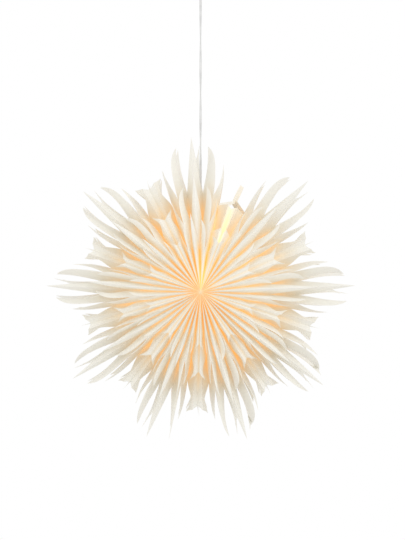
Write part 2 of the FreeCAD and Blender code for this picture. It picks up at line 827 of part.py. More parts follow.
def terminal_block():
    """The two-way terminal block beside the clamp."""
    low = block_top() - BLOCK_H
    left = CLAMP_R + SEAT
    middle = left + BLOCK_W / 2
    block = Part.makeBox(BLOCK_W, BLOCK_L, BLOCK_H, Vector(left, -BLOCK_L / 2, low))
    for side in (-1, 1):
        y = side * BLOCK_L / 4
        block = block.cut(rod(LEAD_R + CHAMFER, low, block_top(), middle, y, SMALL_SIDES))
        start = Vector(middle, y, block_top() - BLOCK_SCREW_DROP)
        block = block.cut(rod_across(BLOCK_SCREW_R, start, BLOCK_W / 2))
    return block


def terminal_screws():
    """The clamping screws in the terminal block."""
    start_x = CLAMP_R + SEAT + BLOCK_W / 2 + LEAD_R + SEAT
    length = BLOCK_W / 2 - LEAD_R - 2 * SEAT
    screws = []
    for side in (-1, 1):
        start = Vector(start_x, side * BLOCK_L / 4, block_top() - BLOCK_SCREW_DROP)
        screws.append(rod_across(BLOCK_SCREW_R - FIT, start, length))
    return Part.makeCompound(screws)


def cord_tails():
    """The cord's two leads, which leave the clamp's side and turn up into the block."""
    top = block_top() - BLOCK_SCREW_DROP - BLOCK_SCREW_R
    low = clamp_top() - CLAMP_H + 2 * LEAD_R
    x_up = CLAMP_R + SEAT + BLOCK_W / 2
    y_half = BLOCK_L / 4
    x_in = math.sqrt((CLAMP_R + SEAT) ** 2 - (y_half - LEAD_R) ** 2)
    leads = []
    for side in (-1, 1):
        y = side * y_half
        route = [Vector(x_up, y, top), Vector(x_up, y, low), Vector(x_in, y, low)]
        leads.append(wire_along(softened(route, LEAD_BEND_R), LEAD_R, Y_AXIS))
    return Part.makeCompound(leads)


def cup_bottom():
    """Height of the ceiling cup's underside."""
    return -CUP_GAP - CUP_DEPTH


def cup_skin(radius, base):
    """Outline of the cup: rim, barrel, rounded shoulder and the edge of its mouth."""
    bend = CUP_DEPTH / 2
    points = [(radius, -CUP_GAP)]
    for step in range(CUP_STEPS + 1):
        turn = math.pi / 2 * step / CUP_STEPS
        points.append((radius - bend * (1 - math.cos(turn)), base + bend * (1 - math.sin(turn))))
    points.append((BUSH_R + FIT, base))
    return points


def ceiling_cup():
    """The bell-shaped cup that covers the hook, hung on the cord."""
    outer = cup_skin(CUP_R, cup_bottom())
    inner = cup_skin(CUP_R - CUP_WALL, cup_bottom() + CUP_WALL)
    return turned(outer + inner[::-1])


def cup_bush():
    """The grip bush in the cup's mouth, with a collar below the cup."""
    low = cup_bottom() - BUSH_DROP
    seat = cup_bottom() - FIT
    inner = CORD_R + CORD_FIT
    bush = turned([(inner, low), (BUSH_R - CHAMFER, low), (CUP_NECK_R, low + 2 * CHAMFER),
                   (CUP_NECK_R, seat), (BUSH_R, seat), (BUSH_R, low + BUSH_H),
                   (inner, low + BUSH_H)])
    hole = rod_across(GRIP_SCREW_R + FIT, Vector(0, 0, grip_screw_level()), CUP_NECK_R)
    return bush.cut(hole)


def grip_screw_level():
    """Height of the screw through the bush, above the cup's floor."""
    return cup_bottom() + BUSH_DROP


def cup_grip_screw():
    """The small screw that holds the cup at its height on the cord."""
    start = Vector(CORD_R + CORD_FIT, 0, grip_screw_level())
    shank = rod_across(GRIP_SCREW_R, start, BUSH_R)
    head = rod_across(2 * GRIP_SCREW_R, start + X_AXIS * BUSH_R, GRIP_HEAD_H)
    return shank.fuse(head)


def cord_drop():
    """The taut cord from the clamp down to the lampholder's nipple."""
    top = clamp_top() - CLAMP_H + CLAMP_GRIP - SEAT
    return rod(CORD_R, above_centre(NIPPLE_TOP) - NIPPLE_H, top)


make_paper()
save(end_card(-1), "end_card_right")
save(end_card(1), "end_card_left")
save(closing_tab(), "closing_tab")
for piece in (hanger_bow, bow_end_caps, holder_nipple, holder_cap, holder_body, retaining_ring,
              holder_insert, socket_shell, centre_contact, contact_screws, holder_leads,
              bulb_tip, bulb_insulator, bulb_screw_cap, bulb_glass, bulb_stem, bulb_filament,
              ceiling_bracket, ceiling_hook, cord_hanger, terminal_block, terminal_screws,
              cord_tails, ceiling_cup, cup_bush, cup_grip_screw, cord_drop):
    save(piece(), piece.__name__)
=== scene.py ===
"""Pleated paper star pendant, lit from inside: nine cut and folded bags fanned round a bulb."""
import json
import math

import bmesh
import bpy
import numpy as np
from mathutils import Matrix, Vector


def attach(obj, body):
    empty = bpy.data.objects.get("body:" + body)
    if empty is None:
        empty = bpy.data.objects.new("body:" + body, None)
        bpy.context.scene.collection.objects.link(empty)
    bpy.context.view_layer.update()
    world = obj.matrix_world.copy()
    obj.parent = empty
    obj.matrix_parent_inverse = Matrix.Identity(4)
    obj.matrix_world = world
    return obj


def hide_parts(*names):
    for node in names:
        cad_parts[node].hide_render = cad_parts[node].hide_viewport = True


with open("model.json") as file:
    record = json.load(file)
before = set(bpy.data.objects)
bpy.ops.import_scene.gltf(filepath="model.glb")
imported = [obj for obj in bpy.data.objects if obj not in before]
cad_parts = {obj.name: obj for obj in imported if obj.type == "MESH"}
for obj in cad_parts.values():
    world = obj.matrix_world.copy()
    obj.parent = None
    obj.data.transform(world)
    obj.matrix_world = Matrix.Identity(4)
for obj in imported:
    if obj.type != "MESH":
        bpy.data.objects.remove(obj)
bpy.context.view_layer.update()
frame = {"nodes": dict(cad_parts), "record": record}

# ---------------------------------------------------------------- sizes, in metres
MM = 0.001
CENTRE_Z = -0.670                 # the star's centre, below the ceiling

# The photograph: its frame, the star's centre in it, and the scale at the star
PHOTO_W = 405
PHOTO_H = 540
POLE_X = 200.6
POLE_Y = 291.8
METRES_PER_PIXEL = 2.02 * MM
CAMERA_AWAY = 1.6
SENSOR_WIDTH = 36.0

# How the tiers' paper takes the bulb's light, which is painted into it as an orange, darker
# colour and as a glow of its own. An amount is (strength, dark, full): it is nothing at the
# dark radius and has its strength at the full one, both as shares of the tier's flank notch.
# Where both radii lie beyond the paper, it is full everywhere. Amounts in one tuple add up.
CENTRE_FADE = (0.55, 0.15)


class Glow:
    """A tier's amounts of painted tint (the bulb's orange light and the valleys' shade) and of
    painted glow, in its valleys and on its crests, the painted glow that it has everywhere, and
    the share of its painted tint that is left beside the bulb."""

    def __init__(self, valley_warm, crest_warm, valley_lit, crest_lit, base_lit, beside):
        self.valley_warm = valley_warm
        self.crest_warm = crest_warm
        self.valley_lit = valley_lit
        self.crest_lit = crest_lit
        self.base_lit = base_lit
        self.beside = beside


FRONT_GLOW = Glow(((1.0, 1.8, 0.7),), ((0.34, *CENTRE_FADE),),
                  ((0.20, 9, 8), (0.06, *CENTRE_FADE)), ((0.06, *CENTRE_FADE),), 0.07, 0.35)
MIDDLE_GLOW = Glow(((0.95, 1.4, 0.6),), ((0.20, 0.95, 0.5),),
                   ((0.26, 1.3, 0.5),), (), 0.11, 0.4)
REAR_GLOW = Glow(((0.90, 1.14, 0.62),), ((0.46, 1.2, 0.6),),
                 ((0.28, 1.2, 0.6),), ((0.04, 1.1, 0.8),), 0.085, 0.55)

VALLEY_SHARPNESS = 1.7
WARM_ANGLE = math.radians(100)    # here and opposite it the painted tint of all tiers is warmest
PALE_SIDES = 0.34
OVER_BULB_ANGLE = math.radians(86)      # here the front tier's painted glow is brightest
OVER_BULB_SPREAD = math.radians(17)
OVER_BULB_LIT = 0.32
OVER_BULB_FADE = (1.0, 0.25)
OVER_BULB_ON_CRESTS = 0.35
WALL_VALLEY = 0.6                 # how deep in a valley the walls and needles count for the painted light and shade
NEEDLE_VALLEY = 0.5

# The paper star. Angles are in degrees, 0 to the right and 90 up.
BAG_MIDDLES = (2.3, 45.9, 93.5, 139.5, 177.8, 214.2, 249.5, 287.5, 322.7)
SEAM_AFTER = 1                    # the fan closes between this bag (from 0) and the next
HUB_R = 0.3 * MM
SHEET = 0.3 * MM


class Tier:
    """One of the three pleated cones: apex depth, the tip and notch radii of its spikes,
    flanks, sides and hooks, how far each bag's middle fold is turned out of place, in degrees,
    how uneven its folds are, and its glow."""

    def __init__(self, apex, tips, notches, turns, uneven, glow):
        self.apex = apex * MM
        self.tips = [tip * MM for tip in tips]
        self.notches = [notch * MM for notch in notches]
        self.turns = turns
        self.uneven = uneven
        self.glow = glow


FRONT = Tier(160, (144.5, 133.5, 115, 107), (78, 76, 68, 95.5),
             (0, 3.5, 4, -2, -2, -2, 1.5, -3, -2), 0.035, FRONT_GLOW)
MIDDLE = Tier(118, (217, 203, 179, 170), (135, 130, 119, 152),
              (0, 2, 0, 2, -3, -3, -1, -1, -1), 0.025, MIDDLE_GLOW)
REAR = Tier(75, (300, 292, 256, 241), (196, 184, 176, 224), (0,) * 9, 0.0, REAR_GLOW)
TIERS = (FRONT, MIDDLE, REAR)

# The six folds of a half bag, from its middle fold to its glued edge: where they stand as
# shares of the half bag, how they slope away from the apex, and how high they count for the
# painted light and shade, 1 being a crest and 0 a valley
SPIKE_LIFT = 10 * MM
HOOK_LIFT = 18 * MM
CORD_ROOM = 12 * MM
GLUE_GAP = 0.3 * MM
GLUE_ANGLE = math.degrees(GLUE_GAP / 2 / REAR.notches[3])
CREST_SLOPE = SPIKE_LIFT / REAR.tips[0]
HOOK_SLOPE = HOOK_LIFT / REAR.tips[3]
VALLEY_SLOPE = (REAR.apex - CORD_ROOM) / REAR.notches[0]
GLUE_SLOPE = 0.13                 # gentler than in the construction, so that the hooks face out
FOLD_SHARES = (0.0, 0.2, 0.45, 0.64, 0.875, 1.0)
FOLD_SLOPES = (CREST_SLOPE, VALLEY_SLOPE, CREST_SLOPE, VALLEY_SLOPE, HOOK_SLOPE, GLUE_SLOPE)
FOLD_HEIGHTS = (1.0, 0.0, 0.95, 0.0, 0.8, 0.3)
UNEVEN_STEPS = (2.7, 4.1, 1.9)    # radians for each bag, side and fold on an uneven wave

# Where the cut tips stand, as shares of a half bag, on its low and its high side
FLANK_TIPS = ((0.30, 0.22), (0.30, 0.26), (0.27, 0.27), (0.24, 0.25), (0.25, 0.24),
              (0.25, 0.27), (0.29, 0.44), (0.33, 0.17), (0.31, 0.17))
SIDE_TIPS = ((0.58, 0.50), (0.60, 0.57), (0.58, 0.62), (0.52, 0.52), (0.52, 0.54),
             (0.56, 0.50), (0.55, 0.55), (0.58, 0.48), (0.57, 0.45))
HOOK_TIPS = ((0.73, 0.76), (0.73, 0.72), (0.72, 0.70), (0.72, 0.70), (0.72, 0.73),
             (0.72, 0.74), (0.69, 0.72), (0.75, 0.73), (0.70, 0.68))

# How the blades are cut and bent; hollows and fullness shape the two edges of a blade
FLANK_HOLLOWS = (0.18, 0.30)      # by turns from half bag to half bag
SIDE_HOLLOWS = (0.34, 0.18)
FLANK_FULLNESS = 3.8
SIDE_FULLNESS = 3.2
HOOK_WAIST = 0.62
HOOK_FOLD_SHARE = 0.36            # where the hook's fold ends between its notch and its tip
HOOK_SCOOP = 0.3
BLADE_BEND = 7 * MM
HOOK_BEND = 1 * MM
BACK_TURN = -0.9                  # degrees by which the back's middle folds are out of place
BACK_CURL = -2.2                  # degrees by which the back's long tips curl aside

# The paper beside the seam: a panel with a shorter hook, and a deep one that faces the bulb.
# Their painted light is (share of the painted tint, extra painted glow at the hub); at the rim
# a share of the extra painted glow is left.
SEAM_HOOK_CUT = 0.74
SEAM_DEEP_HEIGHT = -0.2
SEAM_END_LIGHT = (0.55, 0.06)
SEAM_DEEP_LIGHT = (0.45, 0.22)
SEAM_LIGHT_AT_RIM = 0.15

# The glued side walls, and the needles in the forks between two bags
WALL_START = 70 * MM
NEEDLE_TIP = 246 * MM
NEEDLE_ROOT = 6 * MM
NEEDLE_DEPTH = 40 * MM
NEEDLE_HALF = 0.28                # degrees
NEEDLE_LEAN = 1.1                 # degrees
NEEDLE_STEP = 2.4                 # radians from bag to bag, on the wave of the leans

# The closing tab: where its fork stands, and each fin's end, half-widths and twists
TAB_FORK_R = 193 * MM
TAB_ANGLE = math.radians(69.4)
TAB_FINS = (
    ((84 * MM, 213 * MM), (15 * MM, 7 * MM), (16, 34)),
    ((39 * MM, 174 * MM), (16 * MM, 12 * MM), (14, 30)),
    ((86 * MM, 153 * MM), (16 * MM, 14 * MM), (16, 22)),
)
# The tab's painted tint and painted glow; the glow also lifts its shaded sides
TAB_WARM = 0.06
TAB_LIT = 0.2

# The cord: a taut twin flex, from the lampholder up to the clamp, pinched between its cores
CORD_TOP = -35.5 * MM
CORD_FOOT = -562.0 * MM
CORD_ROUTE = ((0, 0, CORD_FOOT), (0, 0, -0.45), (0, 0, -0.30), (0, 0, -0.15), (0, 0, CORD_TOP))
CORD_WIDTH = 5.0 * MM
CORD_THICK = 3.1 * MM
CORD_TURNS = 2.2
CORD_PINCH = 0.22
CORD_SIDES = 20
CORD_STEPS = 24

# The ceiling cup, in mm
CUP_R = 50
CUP_TOP = -1
CUP_DEPTH = 61
CUP_WALL = 1.2
CUP_SHOULDER = 30
CUP_RIM = 0.6
CUP_HOLE = 6.1

# The bulb's globe, in mm, the height of its middle measured from the star's centre
GLOBE_R = 22.5
GLOBE_Z = 15
GLOBE_NECK = 9.6
GLOBE_WALL = 0.8

# Threads are (low, high, pitch, depth), their heights measured from the ceiling, and ribs are
# (outside this radius, count, depth), in mm
HOLDER_THREAD = (-625.5, -602.5, 2.6, 0.6)
CAP_THREAD = (-620, -606, 2.8, 0.35)
RING_RIBS = (20.5, 24, 0.9)

# Meshes
ROWS_IN = 12                      # rows of points from the hub to the notches
ROWS_OUT = 14                     # and from there to the tips, crowded towards these
ROWS = ROWS_IN + ROWS_OUT
ROW_CROWDING = 1.25
COLUMNS = 7
TAB_ROWS = 12
TURN_SIDES = 96
SHARP_ANGLE = math.radians(35)
WELD_DISTANCE = 2e-6
SPECK = 1e-7

# Stage and light
FLOOR_HALF = 1.2
FLOOR_DROP = 0.95
FLOOR_TONE = 0.86
SKY = 0.88                        # the strength of its light, where 1 looks white
LAMP_SIZE = 0.7
LAMPS = (("key", (1.4, -1.9, 0.5), 7.0), ("fill", (-1.9, -1.2, -0.4), 2.5))
CAMERA_RAY, GLOSSY_RAY, TRANSMISSION_RAY = 0, 3, 6     # outputs of the light path node


# ---------------------------------------------------------------- shader maths
class Shade:
    """A value in a material. Arithmetic on it adds Math nodes."""

    def __init__(self, tree, socket=None):
        self.tree = tree
        self.socket = socket

    def node(self, kind, inputs=None, out=0, stops=None, **settings):
        """Adds any node: its settings first, then the values or links of its inputs."""
        node = self.tree.nodes.new(kind)
        for name, value in settings.items():
            setattr(node, name, value)
        if stops:
            ramp = node.color_ramp
            while len(ramp.elements) < len(stops):
                ramp.elements.new(0.5)
            for element, (place, colour) in zip(ramp.elements, stops):
                element.position = place
                element.color = tuple(colour) + (1.0,)
        for name, value in (inputs or {}).items():
            if isinstance(value, Shade):
                self.tree.links.new(value.socket, node.inputs[name])
            else:
                node.inputs[name].default_value = value
        return Shade(self.tree, node.outputs[out])

    def math(self, operation, *values):
        """One Math node on this value and others."""
        inputs = dict(enumerate((self,) + values))
        return self.node("ShaderNodeMath", inputs, operation=operation)

    def __add__(self, other):
        return self.math("ADD", other)

    __radd__ = __add__

    def __mul__(self, other):
        return self.math("MULTIPLY", other)

    __rmul__ = __mul__

    def __sub__(self, other):
        return self.math("SUBTRACT", other)

    def __rsub__(self, other):
        return (self * -1) + other

    def fade(self, low, high):
        """0 below low, 1 above high, and a smooth step between."""
        inputs = {0: self, 1: low, 2: high}
        return self.node("ShaderNodeMapRange", inputs, interpolation_type="SMOOTHSTEP")

    def ramp(self, *stops):
        """A colour ramp of (place, colour) stops."""
        return self.node("ShaderNodeValToRGB", {0: self}, stops=stops)

    def blend(self, first, second):
        """Mixes two colours by this value."""
        inputs = {0: self, 6: first, 7: second}
        return self.node("ShaderNodeMix", inputs, out=2, data_type="RGBA")


def rgba(red, green, blue):
    """An opaque colour."""
    return (red, green, blue, 1.0)


def new_material(name):
    """An empty material, its start for expressions and its surface shader."""
    material = bpy.data.materials.new(name)
    material.use_nodes = True
    tree = material.node_tree
    return material, Shade(tree), tree.nodes["Principled BSDF"]


def feed(shade, shader, name):
    """Links a value to a socket of the surface shader."""
    shade.tree.links.new(shade.socket, shader.inputs[name])


def noise(start, scale, detail):
    """Soft noise from 0 to 1 over the object."""
    place = start.node("ShaderNodeTexCoord", out=3)
    inputs = {"Vector": place, "Scale": scale, "Detail": detail}
    return start.node("ShaderNodeTexNoise", inputs)


def attribute(start, name):
    """A number stored on the surface."""
    return start.node("ShaderNodeAttribute", out=2, attribute_name=name)


def bump(height, distance):
    """A bump from a height field."""
    return height.node("ShaderNodeBump", {"Distance": distance, "Height": height})


# ---------------------------------------------------------------- materials
PAPER_STOPS = (                   # from plain paper to paper painted darker and orange, as painted valley shade and painted bulb light
    (0.00, (0.885, 0.87, 0.815)),
    (0.12, (0.84, 0.79, 0.69)),
    (0.34, (0.88, 0.72, 0.50)),
    (0.66, (0.94, 0.64, 0.25)),
    (1.00, (0.86, 0.49, 0.12)),
)

FIBRE_SCALE = 700.0
FIBRE_TONE = 0.02
FIBRE_HEIGHT = 0.004 * MM
WARM_CLOUDS = (0.8, 0.4)          # the least share of the painted tint, and what the clouds add to it
LIT_CLOUDS = (0.85, 0.3)

GRAIN_GLOSS = 0.15
DARKER = 0.86
PALE_GLOW = rgba(1.0, 0.88, 0.66)
DEEP_GLOW = rgba(1.0, 0.80, 0.50)
GLOW_STRENGTH = 6.0

# Each slot's finish: name, colour, roughness, scale and depth of the grain, metallic
FINISHES = {
    "paper": ("plain_paper", (0.84, 0.80, 0.70), 0.85, 900, 0.05 * MM, 0.0),
    "card": ("card", (0.80, 0.74, 0.62), 0.8, 700, 0.04 * MM, 0.0),
    "wire": ("zinc_wire", (0.62, 0.62, 0.62), 0.35, 500, 0.02 * MM, 1.0),
    "plug_plastic": ("plug_plastic", (0.82, 0.82, 0.80), 0.5, 600, 0.02 * MM, 0.0),
    "holder_plastic": ("holder_plastic", (0.84, 0.83, 0.80), 0.35, 600, 0.01 * MM, 0.0),
    "ceramic_insert": ("ceramic_insert", (0.82, 0.80, 0.75), 0.6, 900, 0.02 * MM, 0.0),
    "brass": ("brass", (0.78, 0.58, 0.26), 0.3, 500, 0.01 * MM, 1.0),
    "lead_insulation": ("lead_insulation", (0.33, 0.16, 0.08), 0.45, 700, 0.01 * MM, 0.0),
    "solder": ("solder", (0.60, 0.60, 0.62), 0.4, 800, 0.05 * MM, 1.0),
    "black_glass": ("black_glass", (0.02, 0.02, 0.02), 0.15, 400, 0.01 * MM, 0.0),
    "cap_metal": ("cap_metal", (0.72, 0.72, 0.73), 0.3, 500, 0.02 * MM, 1.0),
    "clear_glass": ("stem_glass", (0.85, 0.88, 0.88), 0.1, 300, 0.01 * MM, 0.0),
    "filament": ("filament", (0.9, 0.6, 0.3), 0.4, 300, 0.01 * MM, 0.0),
    "strap_steel": ("strap_steel", (0.58, 0.58, 0.57), 0.4, 500, 0.03 * MM, 1.0),
    "cord_sheath": ("cord_sheath", (0.80, 0.80, 0.79), 0.4, 700, 0.02 * MM, 0.0),
    "cup_plastic": ("cup_plastic", (0.84, 0.84, 0.83), 0.3, 600, 0.01 * MM, 0.0),
}


def paper_material():
    """Cut white paper with a faint fibre, with the bulb's light and the valleys' shade painted
    into it: an orange, darker base colour and an emission glow where the bulb shines through
    it. The paper carries two numbers: painted_glow_and_shade, how orange and dark the painted
    light and shade make it, and lit, how much painted glow it gives off."""
    material, start, shader = new_material("star_paper")
    painted_glow_and_shade = attribute(start, "painted_glow_and_shade")
    lit = attribute(start, "lit")
    fibre = noise(start, FIBRE_SCALE, 2.0)
    cloud = noise(start, 24.0, 2.0)
    # painted light and shade: the bulb's glow and the valleys' shade tint the base colour, over
    # the fibre's own faint tone
    tone = painted_glow_and_shade * (WARM_CLOUDS[0] + WARM_CLOUDS[1] * cloud) + (fibre - 0.5) * FIBRE_TONE
    colour = tone.ramp(*PAPER_STOPS)
    feed(colour, shader, "Base Color")
    # painted glow: the paper gives off the bulb's light as an emission of its own colour
    light = (lit * (LIT_CLOUDS[0] + LIT_CLOUDS[1] * cloud)).blend(rgba(0, 0, 0), colour)
    feed(light, shader, "Emission Color")
    shader.inputs["Emission Strength"].default_value = 1.0
    shader.inputs["Roughness"].default_value = 0.85
    shader.inputs["Specular IOR Level"].default_value = 0.2
    feed(bump(fibre, FIBRE_HEIGHT), shader, "Normal")
    material.cycles.emission_sampling = "NONE"
    return material


def plain_material(name, colour, roughness, grain_scale, grain_depth, metallic):
    """A moulded or rolled finish: fine grain, slight change of tone, slight change of gloss."""
    material, start, shader = new_material(name)
    grain = noise(start, grain_scale, 1.0)
    cloud = noise(start, 40.0, 2.0)
    dark = rgba(*[DARKER * value for value in colour])
    feed(cloud.fade(0.3, 0.7).blend(dark, rgba(*colour)), shader, "Base Color")
    feed(grain * GRAIN_GLOSS + (roughness - 0.07), shader, "Roughness")
    shader.inputs["Metallic"].default_value = metallic
    feed(bump(grain, grain_depth), shader, "Normal")
    return material


def glowing_glass():
    """The frosted globe, lit from inside."""
    material, start, shader = new_material("lit_frosted_glass")
    cloud = noise(start, 60.0, 2.0)
    feed(cloud.blend(DEEP_GLOW, PALE_GLOW), shader, "Emission Color")
    shader.inputs["Emission Strength"].default_value = GLOW_STRENGTH
    shader.inputs["Base Color"].default_value = rgba(0.9, 0.86, 0.78)
    feed(cloud * 0.1 + 0.3, shader, "Roughness")
    return material


STAR_PAPER = paper_material()
MATERIALS = {slot: plain_material(*facts) for slot, facts in FINISHES.items()}
MATERIALS["bulb_glass"] = glowing_glass()


def finish_frame():
    """Gives every construction node the finish of its slot."""
    slots = {entry["node"]: entry["material_slot"] for entry in frame["record"]["subparts"]}
    for node, piece in frame["nodes"].items():
        piece.data.materials.clear()
        piece.data.materials.append(MATERIALS[slots[node]])


# ---------------------------------------------------------------- meshes
def new_mesh(name, points, faces, body, material):
    """A mesh object from whole arrays of points and faces."""
    mesh = bpy.data.meshes.new(name)
    mesh.from_pydata(points.tolist(), [], faces.tolist())
    mesh.update()
    piece = bpy.data.objects.new(name, mesh)
    bpy.context.collection.objects.link(piece)
    mesh.materials.append(material)
    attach(piece, body)
    return piece


def store(piece, name, values):
    """Stores one number for every point of a piece."""
    data = piece.data.attributes.new(name, "FLOAT", "POINT")
    data.data.foreach_set("value", values.astype(np.float32))


def grid_faces(rows, columns):
    """The four-cornered faces of a grid of points, stored row by row."""
    corner = np.arange((rows - 1) * columns).reshape(rows - 1, columns)[:, :-1].ravel()
    return np.stack([corner, corner + columns, corner + columns + 1, corner + 1], axis=1)


def band_faces(lower, upper, sides):
    """The four-cornered faces between rings of points: ring lower[i] is joined to upper[i]."""
    lower = lower[:, None] * sides
    upper = upper[:, None] * sides
    step = np.arange(sides)[None, :]
    after = (step + 1) % sides
    faces = np.stack([lower + step, lower + after, upper + after, upper + step], axis=2)
    return faces.reshape(-1, 4)


def around_axis(sides):
    """Even angles once round, without the last one."""
    return np.linspace(0, 2 * math.pi, sides, endpoint=False)


def in_star(x, y, z):
    """A list of points, their heights measured from the star's centre."""
    return np.stack([x, y, z + CENTRE_Z], axis=2).reshape(-1, 3)


def weld(piece):
    """Joins points that lie on one another."""
    data = bmesh.new()
    data.from_mesh(piece.data)
    bmesh.ops.remove_doubles(data, verts=data.verts, dist=WELD_DISTANCE)
    bmesh.ops.dissolve_degenerate(data, dist=SPECK, edges=data.edges)
    data.to_mesh(piece.data)
    data.free()


def thicken(piece):
    """Gives a sheet of paper its thickness, half to each side."""
    wall = piece.modifiers.new("thickness", "SOLIDIFY")
    wall.thickness = SHEET
    wall.offset = 0


def close_ends(piece):
    """Caps the open rims of a tube."""
    data = bmesh.new()
    data.from_mesh(piece.data)
    rims = [edge for edge in data.edges if edge.is_boundary]
    bmesh.ops.holes_fill(data, edges=rims, sides=0)
    bmesh.ops.recalc_face_normals(data, faces=data.faces)
    data.to_mesh(piece.data)
    data.free()


# ---------------------------------------------------------------- the cut edges of the blades
def blade_hollow(lean, hollow):
    """The hollow side of a sabre-shaped blade: its share grows to lean as u^1.2, and stands
    further out by hollow.sin(pi.u) halfway."""
    return lambda up: lean * up ** 1.2 + hollow * np.sin(np.pi * up)


def blade_round(lean, fullness):
    """The full side of a blade: its share stays near 1 and swings to lean as u^fullness."""
    return lambda up: 1 - (1 - lean) * up ** fullness


def blade_spike(up):
    """The side of a long spike: its share falls from 1 to 0 as u^0.75."""
    return 1 - up ** 0.75


def hook_waist(lean):
    """The hollow side of a hook: its share goes in to a waist as sin(pi.u^1.15)^1.5, and out
    to lean as u^2."""
    return lambda up: lean * up ** 2 + HOOK_WAIST * np.sin(np.pi * up ** 1.15) ** 1.5


def keep(share):
    """An edge that stays on its fold."""
    return lambda up: share + 0 * up


# ---------------------------------------------------------------- the light in the paper
def fade(value, low, high):
    """0 below low, 1 above high, straight between; low above high turns it round."""
    return np.clip((value - low) / (high - low), 0, 1)


def add_up(amounts, place_r):
    """The sum of some amounts of light or warmth at given radii."""
    return sum(strength * fade(place_r, dark, full) for strength, dark, full in amounts)


def paper_light(tier, radius, valley, angle):
    """How much painted tint and painted glow the paper has, from its radius against the tier's
    notches and how deep in a valley it lies. The painted tint is strongest above and below the
    bulb, as 1 - p + p.cos(2.(angle - warm angle)), and the paper to the left and right of it is
    paler. The front tier's painted glow is strongest just over the bulb, as e^(-((angle - a) /
    spread)^2)."""
    glow = tier.glow
    place_r = radius / tier.notches[1]
    deep = valley ** VALLEY_SHARPNESS
    flat = 1 - deep
    pale = 1 - PALE_SIDES + PALE_SIDES * np.cos(2 * (angle - WARM_ANGLE))
    painted_glow_and_shade = deep * add_up(glow.valley_warm, place_r) + flat * add_up(glow.crest_warm, place_r)
    lit = deep * add_up(glow.valley_lit, place_r) + flat * add_up(glow.crest_lit, place_r)
    lit = lit + glow.base_lit
    if tier is FRONT:
        pale = np.maximum(pale, fade(place_r, *CENTRE_FADE))
        over_bulb = np.exp(-((angle - OVER_BULB_ANGLE) / OVER_BULB_SPREAD) ** 2)
        share = OVER_BULB_ON_CRESTS + (1 - OVER_BULB_ON_CRESTS) * deep
        lit = lit + OVER_BULB_LIT * over_bulb * fade(place_r, *OVER_BULB_FADE) * share
    return painted_glow_and_shade * (glow.beside + (1 - glow.beside) * pale), lit


def lit_sheet(tier, radius, angle, depth, valley):
    """Points of a sheet of paper from their radii, angles and depths in front of the middle
    plane, with their painted tint and painted glow."""
    painted_glow_and_shade, lit = paper_light(tier, radius, valley, angle)
    points = in_star(radius * np.cos(angle), -depth, radius * np.sin(angle))
    return points, painted_glow_and_shade.ravel(), lit.ravel()


# ---------------------------------------------------------------- the paper bags
class Fold:
    """A fold line that runs out from a tier's apex at one angle and slope."""

    def __init__(self, angle, slope, height):
        self.angle = math.radians(angle)
        self.slope = slope
        self.height = height


def plane_tilts(fold_a, fold_b):
    """How the plane through two folds falls back to the right and upwards: the tx and tz for
    which tx.cos(a) + tz.sin(a) is each fold's slope at its angle a."""
    cos_a, sin_a = math.cos(fold_a.angle), math.sin(fold_a.angle)
    cos_b, sin_b = math.cos(fold_b.angle), math.sin(fold_b.angle)
    span = math.sin(fold_b.angle - fold_a.angle)
    tilt_x = (fold_a.slope * sin_b - fold_b.slope * sin_a) / span
    tilt_z = (fold_b.slope * cos_a - fold_a.slope * cos_b) / span
    return tilt_x, tilt_z


def panel_grid(tier, fold_a, fold_b, edge_a, edge_b, bend=0.0, curl=0.0, scoop=0.0):
    """One flat panel with its blade, as a grid of rows from its left to its right edge.

    An edge is (root, tip, side): it runs along its fold from the hub to the root radius, and
    then up to the tip radius while its share of the way between the folds follows side(u), u
    being the height up the blade. A point at radius r and angle a lies on the plane through
    both folds, at depth apex - tx.x - tz.z. The blade bends out of that plane as u^2, and curls
    aside as u^3. A scoop cuts its rim hollow: the radius goes from one edge to the other as
    v^(1 - scoop.u). The painted tint and painted glow grow into the valleys and towards the
    bulb.
    """
    inner = np.linspace(0, 1, ROWS_IN)
    outer = 1 - (1 - np.linspace(0, 1, ROWS_OUT + 1)[1:]) ** ROW_CROWDING
    up = np.concatenate([0 * inner, outer])[:, None]
    across = np.linspace(0, 1, COLUMNS)[None, :]
    radii, shares = [], []
    for root, tip, side in (edge_a, edge_b):
        radius = np.concatenate([HUB_R + (root - HUB_R) * inner, root + (tip - root) * outer])
        radii.append(radius[:, None])
        shares.append(side(up))
    hollow = across ** (1 - scoop * up)
    radius = radii[0] * (1 - hollow) + radii[1] * hollow
    share = shares[0] * (1 - across) + shares[1] * across
    angle = fold_a.angle + share * (fold_b.angle - fold_a.angle)
    angle = angle + math.radians(curl) * up ** 3
    tilt_x, tilt_z = plane_tilts(fold_a, fold_b)
    depth = tier.apex - tilt_x * radius * np.cos(angle) - tilt_z * radius * np.sin(angle)
    height = fold_a.height * (1 - share) + fold_b.height * share
    return lit_sheet(tier, radius, angle, depth + bend * up ** 2, np.clip(1 - height, 0, 1))


def side_wall(fold, rim):
    """The bag's glued side: a radial sheet from its glued fold back to the middle plane, from
    the bulb's room out to the notch. At radius r its depth runs from apex - slope.r to 0."""
    radius = np.linspace(WALL_START, rim, ROWS)[:, None] + np.zeros((1, COLUMNS))
    part = np.linspace(0, 1, COLUMNS)[None, :]
    depth = (REAR.apex - fold.slope * radius) * (1 - part)
    return lit_sheet(REAR, radius, fold.angle + 0 * radius, depth, WALL_VALLEY + 0 * radius)


